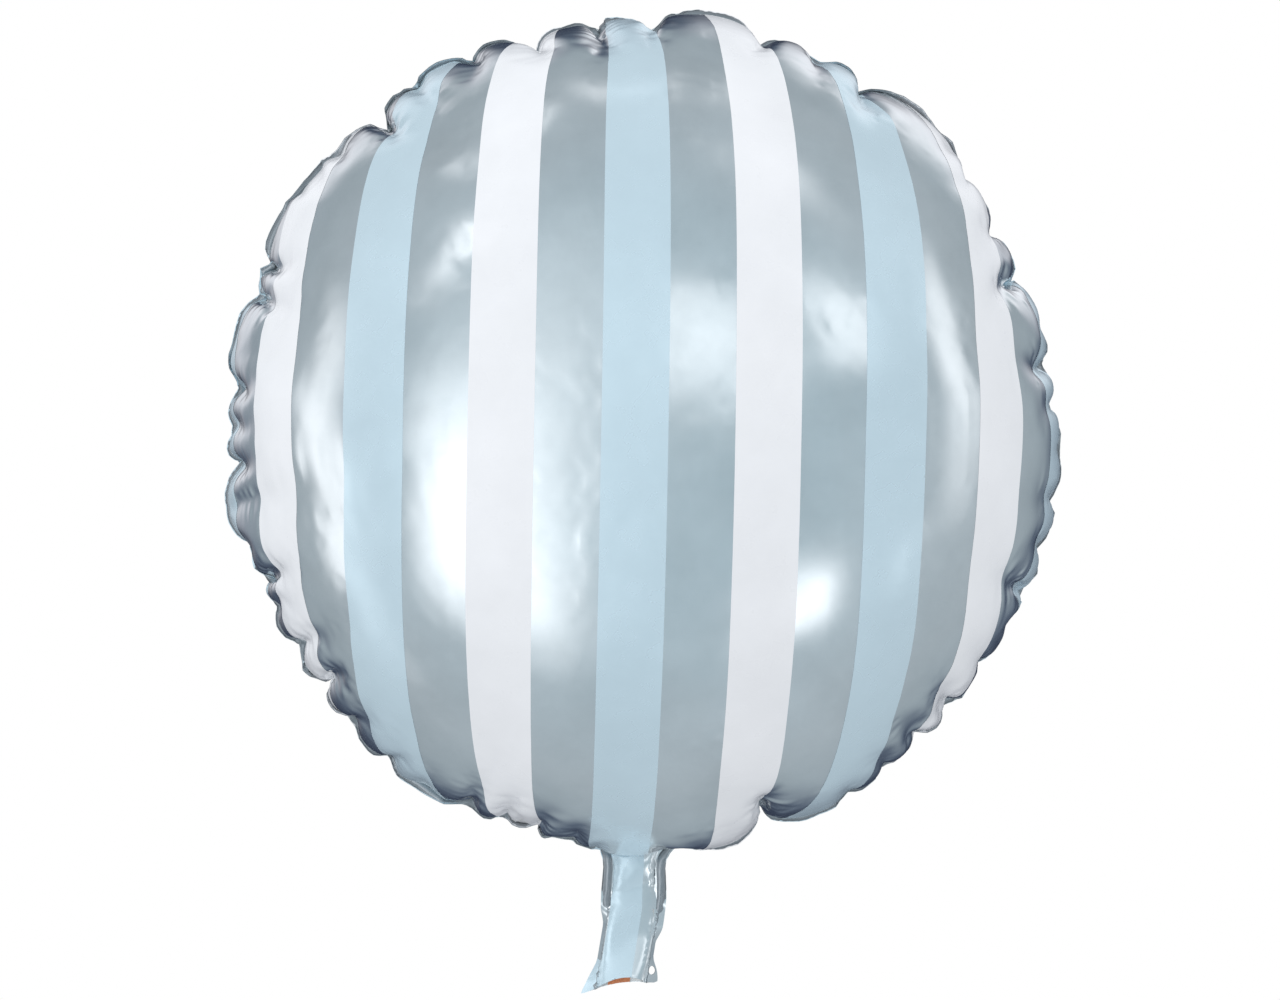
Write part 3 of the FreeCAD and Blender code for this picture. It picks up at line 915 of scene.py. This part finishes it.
class BALLOON_OT_bands(Operator):
    """Prints the white and pale blue bands on both films"""

    bl_idname = "balloon.bands"
    bl_label = "Print the bands"

    def execute(self, context):
        cut = current_cut()
        for side, face in ((-1, "front"), (1, "back")):
            film = bpy.data.objects["film_" + face]
            for colour, material in (("white", white_finish()), ("blue", blue_finish())):
                if not pick_faces(film, band_test(cut, side, colour)):
                    raise RuntimeError(f"no face of the {face} film is {colour}")
                before = set(bpy.data.objects)
                edit(film)
                bpy.ops.mesh.select_mode(type="FACE")
                bpy.ops.mesh.duplicate()
                bpy.ops.mesh.separate(type="SELECTED")
                done()
                bands = (set(bpy.data.objects) - before).pop()
                bands.name = bands.data.name = f"bands_{face}_{colour}"
                raise_ink(cut, bands, film)
                wear(bands, material)
        return {"FINISHED"}


def raise_ink(cut, bands, film):
    """Lifts the ink off the film by its height, along the film's own normals."""
    wanted = {tuple(np.round(p, 7)): n for p, n in zip(places(film.data), normals(film.data))}
    spots = places(bands.data)
    own = normals(bands.data)
    lift = np.array([wanted.get(tuple(np.round(p, 7)), n) for p, n in zip(spots, own)])
    move(bands.data, spots + lift * cut.print.ink)


WELD_THICKNESS = 0.16 * MM
WELD_START = 0.5 * MM  # outside the weld line


class BALLOON_OT_welds(Operator):
    """Puts the fused layer between the two films' sealed margins"""

    bl_idname = "balloon.welds"
    bl_label = "Weld the margins"

    def execute(self, context):
        cut = current_cut()
        film = bpy.data.objects["film_back"]
        weld = film.copy()
        weld.data = film.data.copy()
        weld.name = weld.data.name = "welded_margin"
        context.scene.collection.objects.link(weld)

        def inside(across, up):
            return outside_weld(cut, across, up) < WELD_START

        pick_faces(weld, inside)
        edit(weld)
        bpy.ops.mesh.select_mode(type="FACE")
        bpy.ops.mesh.delete(type="FACE")
        done()
        move(weld.data, places(weld.data) - normals(weld.data) * FLANGE_GAP)
        thick = weld.modifiers.new("Thickness", "SOLIDIFY")
        thick.thickness, thick.offset = WELD_THICKNESS, 0.0
        only(weld)
        bpy.ops.object.modifier_apply(modifier=thick.name)
        shade_smooth(weld.data)
        # the weld's dark grey is a painted dark reflection along the rim's edge
        wear(weld, weld_painted_dark_reflection_finish())
        return {"FINISHED"}


PLY_TOP = 0.5 * MM  # of the mouth's plies, below the fold
RELEASE_TOP = 11 * MM  # of the release print, below the fold
RELEASE_SPAN = (-5.4 * MM, 3.3 * MM)  # across the tail


class BALLOON_OT_valve(Operator):
    """Makes the valve's plies inside the neck, its mouth and the release print"""

    bl_idname = "balloon.valve"
    bl_label = "Fit the valve"

    def execute(self, context):
        cut = current_cut()
        half = VALVE_HIGH.x
        for side, name in ((-1, "valve_inner_front"), (1, "valve_inner_back")):
            ply = standing_ply(name, half, side)
            wear(ply, valve_finish())
        for side, name, shut in ((-1, "valve_mouth_front", 0.25), (1, "valve_mouth_back", 0.12)):
            ply = ribbon(cut, name, (-half, half), PLY_TOP, side, shut)
            wear(ply, valve_finish())
            welds = ["valve_mouth_side_welds"] if side > 0 else []
            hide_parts(name + "_ply", *welds)
        print_ = ribbon(cut, "release_print", RELEASE_SPAN, RELEASE_TOP, 1, 0.2)
        wear(print_, orange_finish())
        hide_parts("valve_release_print")
        return {"FINISHED"}


def lattice(name, points, columns, rows, flipped):
    """A smooth sheet of quads over rows of points, each row one point longer than its columns."""
    faces = []
    for row in range(rows):
        for k in range(columns):
            a = row * (columns + 1) + k
            b = a + columns + 1
            faces.append((b, b + 1, a + 1, a) if flipped else (a, a + 1, b + 1, b))
    made = new_object(name, points, faces)
    shade_smooth(made.data)
    return made


def standing_ply(name, half, side):
    """A valve ply from the fold line up into the gas, bowed so that it fits the blown neck."""
    columns, rows = 12, 40
    gap = 0.12 * MM  # from the middle plane
    points = []
    for i in range(rows + 1):
        up = VALVE_LOW.z + (VALVE_HIGH.z - VALVE_LOW.z) * i / rows
        bow = 2.4 * MM * float(smooth((up - 6 * MM) / (20 * MM)))
        for k in range(columns + 1):
            t = 2 * k / columns - 1
            points.append((half * t * (0.96 - 20 * bow), side * gap + bow * (1 - t * t), up))
    return lattice(name, points, columns, rows, flipped=side > 0)


def ribbon(cut, name, across, top, side, shut):
    """A flat strip down the tail to the mouth's edge, between two places across it."""
    low, high = across
    columns = max(6, round((high - low) / (1.2 * MM)))
    rows = 26
    us, downs = [], []
    for i in range(rows + 1):
        for k in range(columns + 1):
            u = low + (high - low) * k / columns
            end = mouth(cut, u, lifted=side < 0) - 0.15 * MM
            us.append(u)
            downs.append(top + (end - top) * i / rows)
    return lattice(name, cut.tail_place(us, downs, side, shut), columns, rows, flipped=side < 0)


class BALLOON_OT_attach(Operator):
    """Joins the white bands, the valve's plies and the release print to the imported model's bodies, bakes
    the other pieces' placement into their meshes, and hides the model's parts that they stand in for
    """

    bl_idname = "balloon.attach"
    bl_label = "Attach to the frame"

    def execute(self, context):
        found = bpy.data.objects
        for name in ("film_front", "film_back", "bands_front_blue", "bands_back_blue", "welded_margin"):
            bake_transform(found[name])
        for name in ("bands_front_white", "bands_back_white"):
            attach(found[name], "envelope")
        for name in ("valve_mouth_front", "valve_mouth_back", "release_print"):
            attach(found[name], "tail")
        for name in ("valve_inner_front", "valve_inner_back"):
            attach(found[name], "envelope")
        for face in ("front", "back"):
            disc, neck, tail = f"{face}_film", f"neck_{face}_film", f"tail_{face}_film"
            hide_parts(disc, neck, tail, f"tail_{face}_hole_margin")
            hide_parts(f"{face}_white_stripes")
            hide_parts(f"{face}_blue_stripes", f"tail_{face}_blue_print")
        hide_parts("edge_weld", "tail_side_welds")
        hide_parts("valve_front_ply", "valve_side_welds")
        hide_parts("valve_back_ply", "valve_anchor_welds")
        return {"FINISHED"}


class BALLOON_OT_stage(Operator):
    """Sets up the studio light and the camera"""

    bl_idname = "balloon.stage"
    bl_label = "Set the stage"

    def execute(self, context):
        middle = Vector((0, 0, CENTRE_HEIGHT))
        light_world()
        for lamp in LAMPS:
            soft_lamp(middle, *lamp)
        place_camera(middle)
        return {"FINISHED"}


# Soft lamps, hidden from the film: direction (degrees right, degrees up), distance, size, watts.
LAMPS = (
    (-50, 25, 1.9, (1.2, 1.2), 9),
    (60, 45, 2.0, (1.2, 1.2), 6),
    (180, 40, 2.2, (2.0, 2.0), 10),
)

# What the film mirrors, in degrees: middle right and up, half-width, half-height; soft share, strength.
GLOWS = (
    (-23, -15, 25, 33, 0.85, 1.0),  # tall window, low on the left
    (-15, 12, 30, 34, 1.0, 0.22),
    (-37, 31, 8, 7, 0.5, 1.0),
    (26, -25, 11, 11, 0.9, 1.3),
    (55, -18, 6, 6, 0.9, 1.3),
    (4, 88, 180, 15, 1.0, 0.6),
    (9, 11, 8, 9, 0.3, 0.55),  # windows behind the camera
    (30, 17, 9, 10, 0.3, 0.6),
    (-76, -12, 15, 48, 0.8, 0.7),
    (70, 12, 12, 32, 0.8, 0.6),
    (38, 50, 14, 14, 0.9, 0.45),
    (-62, 62, 16, 12, 0.9, 0.4),
    (38, -60, 22, 10, 0.9, 0.35),
    (150, 30, 30, 30, 0.9, 0.8),
    (-150, 20, 25, 40, 0.9, 0.7),
)


# The bare room in the film, from the camera's side (0) to far behind the balloon (1).
ROOM = (
    (0.0, (0.4, 0.51, 0.57)),
    (0.2, (0.43, 0.51, 0.56)),
    (0.5, (0.4, 0.46, 0.5)),
    (0.75, (0.34, 0.4, 0.44)),
    (0.9, (0.1, 0.13, 0.18)),
    (1.0, (0.01, 0.015, 0.04)),
)


def soft_lamp(middle, right, up, distance, size, energy):
    right, up = math.radians(right), math.radians(up)
    light = bpy.data.lights.new("soft_lamp", "AREA")
    light.shape = "RECTANGLE"
    light.size, light.size_y = size
    light.energy = energy
    lamp = bpy.data.objects.new("soft_lamp", light)
    bpy.context.scene.collection.objects.link(lamp)
    aim = Vector((math.sin(right) * math.cos(up), -math.cos(right) * math.cos(up), math.sin(up)))
    lamp.location = middle + aim * distance
    lamp.rotation_euler = (-aim).to_track_quat("-Z", "Y").to_euler()
    lamp.visible_glossy = False


class Sky(Nodes):
    """The world's node tree."""

    def __init__(self, world):
        world.use_nodes = True
        self.tree = world.node_tree
        self.tree.nodes.clear()

    def math(self, operation, a, b=0.0):
        return self.node("ShaderNodeMath", {0: a, 1: b}, operation=operation).outputs[0]

    def fade(self, angle, middle, half, soft):
        """1 near the middle angle, falling to 0 at half an angle away."""
        away = self.math("DIVIDE", self.math("ABSOLUTE", self.math("SUBTRACT", angle, middle)), half)
        inputs = {"Value": away, "From Min": 1.0, "From Max": 1 - soft, "To Min": 0.0, "To Max": 1.0}
        return self.node("ShaderNodeMapRange", inputs, interpolation_type="SMOOTHSTEP").outputs[0]


def light_world():
    """White to the camera and on plain surfaces; a studio with windows in what the film mirrors."""
    world = bpy.data.worlds.new("studio")
    bpy.context.scene.world = world
    sky = Sky(world)
    way = sky.node("ShaderNodeSeparateXYZ", {0: sky.node("ShaderNodeTexCoord").outputs["Generated"]})
    x, y, z = way.outputs
    right = sky.math("ARCTAN2", x, sky.math("MULTIPLY", y, -1.0))
    up = sky.math("ARCSINE", z)
    total = None
    for at, height, wide, tall, soft, strength in GLOWS:
        across = sky.fade(right, math.radians(at), math.radians(wide), soft)
        along = sky.fade(up, math.radians(height), math.radians(tall), soft)
        glow = sky.math("MULTIPLY", sky.math("MULTIPLY", across, along), strength)
        total = glow if total is None else sky.math("ADD", total, glow)
    depth = sky.node("ShaderNodeMapRange", {"Value": y, "From Min": -1.0}).outputs[0]
    ramp = sky.node("ShaderNodeValToRGB", {"Fac": depth})
    stops = ramp.color_ramp.elements
    stops[0].position, stops[0].color = ROOM[0][0], (*ROOM[0][1], 1)
    stops[1].position, stops[1].color = ROOM[-1][0], (*ROOM[-1][1], 1)
    for position, colour in ROOM[1:-1]:
        stops.new(position).color = (*colour, 1)
    room = sky.node("ShaderNodeBackground", {"Color": ramp.outputs["Color"]})
    glows = sky.node("ShaderNodeBackground", {"Color": (1.0, 0.99, 1.0, 1), "Strength": total})
    mirrored = sky.node("ShaderNodeAddShader", {0: room.outputs[0], 1: glows.outputs[0]})
    plain = sky.node("ShaderNodeBackground", {"Color": (0.97, 0.98, 1.0, 1), "Strength": 0.84})
    white = sky.node("ShaderNodeBackground", {"Color": (1, 1, 1, 1), "Strength": 1.0})
    path = sky.node("ShaderNodeLightPath")
    seen = plain
    for ray, other in (("Is Glossy Ray", mirrored), ("Is Camera Ray", white)):
        inputs = {0: path.outputs[ray], 1: seen.outputs[0], 2: other.outputs[0]}
        seen = sky.node("ShaderNodeMixShader", inputs)
    sky.node("ShaderNodeOutputWorld", {0: seen.outputs[0]})
    world.cycles.sampling_method = "NONE"
    bpy.context.scene.view_settings.view_transform = "Standard"


def place_camera(middle):
    """Two metres off, level, a few degrees to the side, with a slight roll."""
    distance, turn, roll = 2.0, math.radians(-3.2), math.radians(1.2)
    frame_width = 0.5284  # metres across the view at the balloon
    camera = bpy.data.cameras.new("camera")
    camera.sensor_width = 36  # mm
    camera.lens = camera.sensor_width * distance / frame_width
    eye = bpy.data.objects.new("camera", camera)
    bpy.context.scene.collection.objects.link(eye)
    back = Vector((math.sin(turn), -math.cos(turn), 0))
    eye.location = middle + back * distance
    look = (-back).to_track_quat("-Z", "Y")
    eye.rotation_mode = "QUATERNION"
    eye.rotation_quaternion = look @ Quaternion((0, 0, 1), roll)
    aside, above = 1.4 * MM, 25.9 * MM  # where the disc's centre stands off the view's middle
    camera.shift_x = -aside / frame_width
    camera.shift_y = -above / frame_width
    bpy.context.scene.camera = eye


# ---- Panel and registration ---------------------------------------------------------------------

STEPS = (
    BALLOON_OT_films,
    BALLOON_OT_bands,
    BALLOON_OT_welds,
    BALLOON_OT_valve,
    BALLOON_OT_attach,
    BALLOON_OT_stage,
)


class BALLOON_PT_panel(Panel):
    """Lists the balloon's sizes and its steps"""

    bl_label = "Foil Balloon"
    bl_idname = "BALLOON_PT_panel"
    bl_space_type = "VIEW_3D"
    bl_region_type = "UI"
    bl_category = "Balloon"

    def draw(self, context):
        for group in (context.scene.balloon_film, context.scene.balloon_tail, context.scene.balloon_print):
            box = self.layout.box()
            for name in group.bl_rna.properties.keys():
                if name not in ("rna_type", "name"):
                    box.prop(group, name)
        for step in STEPS:
            self.layout.operator(step.bl_idname)


CLASSES = (FilmSizes, TailSizes, PrintSizes, *STEPS, BALLOON_PT_panel)
GROUPS = {"balloon_film": FilmSizes, "balloon_tail": TailSizes, "balloon_print": PrintSizes}


def register():
    for cls in CLASSES:
        bpy.utils.register_class(cls)
    for name, group in GROUPS.items():
        setattr(bpy.types.Scene, name, PointerProperty(type=group))


def unregister():
    for name in GROUPS:
        delattr(bpy.types.Scene, name)
    for cls in reversed(CLASSES):
        bpy.utils.unregister_class(cls)


def main():
    register()
    for name in ("films", "bands", "welds", "valve", "attach", "stage"):
        getattr(bpy.ops.balloon, name)()


if __name__ == "__main__":
    main()
